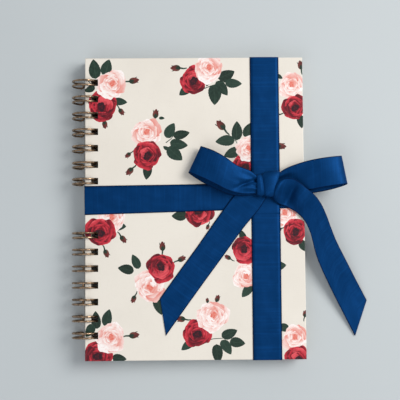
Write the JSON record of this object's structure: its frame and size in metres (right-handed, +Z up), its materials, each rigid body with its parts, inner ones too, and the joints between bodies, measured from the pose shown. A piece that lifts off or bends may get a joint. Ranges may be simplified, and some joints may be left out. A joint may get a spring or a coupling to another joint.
{
  "type": "scrapbook album",
  "caption": "Wire-bound hardcover scrapbook album with printed covers, card leaves and a ribbon tied round the front cover in a bow.",
  "frame": {"origin": "centre of the album's box on the surface it lies on", "axes": "+X from the spine to the fore-edge, +Y up the page, +Z up from the front cover"},
  "size_m": [0.227, 0.2328, 0.0266],
  "materials": {
    "printed_paper": "matt printed cover paper",
    "greyboard": "raw grey board",
    "endpaper": "uncoated ivory",
    "leaf_card": "uncoated ivory card",
    "bronze_wire": "antique bronze plating",
    "navy_grosgrain": "ribbed grosgrain with a soft sheen"
  },
  "bodies": {
    "front_cover": {"front_cover_wrap": "printed_paper", "front_cover_board": "greyboard", "front_endpaper": "endpaper", "ribbon_band_vertical": "navy_grosgrain", "ribbon_band_horizontal": "navy_grosgrain", "bow_knot": "navy_grosgrain", "bow_loop_left": "navy_grosgrain", "bow_loop_right": "navy_grosgrain", "bow_tail_left": "navy_grosgrain", "bow_tail_right": "navy_grosgrain"},
    "back_cover": {"back_cover_wrap": "printed_paper", "back_cover_board": "greyboard", "back_endpaper": "endpaper"},
    "wire_comb_upper": {"wire_comb_upper": "bronze_wire"},
    "wire_comb_lower": {"wire_comb_lower": "bronze_wire"},
    "leaf_01": {"leaf_01": "leaf_card"},
    "leaf_02": {"leaf_02": "leaf_card"},
    "leaf_03": {"leaf_03": "leaf_card"},
    "leaf_04": {"leaf_04": "leaf_card"},
    "leaf_05": {"leaf_05": "leaf_card"},
    "leaf_06": {"leaf_06": "leaf_card"},
    "leaf_07": {"leaf_07": "leaf_card"},
    "leaf_08": {"leaf_08": "leaf_card"},
    "leaf_09": {"leaf_09": "leaf_card"},
    "leaf_10": {"leaf_10": "leaf_card"}
  },
  "joints": [
    {"name": "front_cover_hinge", "type": "hinge", "parent": "back_cover", "child": "front_cover", "pos_m": [-0.10354, 0, 0.01], "axis": [0, -1, 0], "range_deg": [0, 175]},
    {"name": "wire_comb_upper_turn", "type": "hinge", "parent": "back_cover", "child": "wire_comb_upper", "pos_m": [-0.10354, 0, 0.01], "axis": [0, -1, 0], "range_deg": [-20, 20]},
    {"name": "wire_comb_lower_turn", "type": "hinge", "parent": "back_cover", "child": "wire_comb_lower", "pos_m": [-0.10354, 0, 0.01], "axis": [0, -1, 0], "range_deg": [-20, 20]},
    {"name": "leaf_01_hinge", "type": "hinge", "parent": "back_cover", "child": "leaf_01", "pos_m": [-0.10354, 0, 0.01], "axis": [0, -1, 0], "range_deg": [0, 172.9]},
    {"name": "leaf_02_hinge", "type": "hinge", "parent": "back_cover", "child": "leaf_02", "pos_m": [-0.10354, 0, 0.01], "axis": [0, -1, 0], "range_deg": [0, 170.2]},
    {"name": "leaf_03_hinge", "type": "hinge", "parent": "back_cover", "child": "leaf_03", "pos_m": [-0.10354, 0, 0.01], "axis": [0, -1, 0], "range_deg": [0, 167.6]},
    {"name": "leaf_04_hinge", "type": "hinge", "parent": "back_cover", "child": "leaf_04", "pos_m": [-0.10354, 0, 0.01], "axis": [0, -1, 0], "range_deg": [0, 165]},
    {"name": "leaf_05_hinge", "type": "hinge", "parent": "back_cover", "child": "leaf_05", "pos_m": [-0.10354, 0, 0.01], "axis": [0, -1, 0], "range_deg": [0, 162.4]},
    {"name": "leaf_06_hinge", "type": "hinge", "parent": "back_cover", "child": "leaf_06", "pos_m": [-0.10354, 0, 0.01], "axis": [0, -1, 0], "range_deg": [0, 11.9]},
    {"name": "leaf_07_hinge", "type": "hinge", "parent": "back_cover", "child": "leaf_07", "pos_m": [-0.10354, 0, 0.01], "axis": [0, -1, 0], "range_deg": [0, 9.6]},
    {"name": "leaf_08_hinge", "type": "hinge", "parent": "back_cover", "child": "leaf_08", "pos_m": [-0.10354, 0, 0.01], "axis": [0, -1, 0], "range_deg": [0, 7.3]},
    {"name": "leaf_09_hinge", "type": "hinge", "parent": "back_cover", "child": "leaf_09", "pos_m": [-0.10354, 0, 0.01], "axis": [0, -1, 0], "range_deg": [0, 5]},
    {"name": "leaf_10_hinge", "type": "hinge", "parent": "back_cover", "child": "leaf_10", "pos_m": [-0.10354, 0, 0.01], "axis": [0, -1, 0], "range_deg": [0, 2.8]}
  ],
  "couplings": [
    {"joint": "leaf_01_hinge", "follows": "front_cover_hinge", "ratio": 0.985},
    {"joint": "leaf_02_hinge", "follows": "front_cover_hinge", "ratio": 0.97},
    {"joint": "leaf_03_hinge", "follows": "front_cover_hinge", "ratio": 0.955},
    {"joint": "leaf_04_hinge", "follows": "front_cover_hinge", "ratio": 0.94},
    {"joint": "leaf_05_hinge", "follows": "front_cover_hinge", "ratio": 0.925},
    {"joint": "leaf_06_hinge", "follows": "front_cover_hinge", "ratio": 0.065},
    {"joint": "leaf_07_hinge", "follows": "front_cover_hinge", "ratio": 0.052},
    {"joint": "leaf_08_hinge", "follows": "front_cover_hinge", "ratio": 0.039},
    {"joint": "leaf_09_hinge", "follows": "front_cover_hinge", "ratio": 0.026},
    {"joint": "leaf_10_hinge", "follows": "front_cover_hinge", "ratio": 0.013}
  ]
}
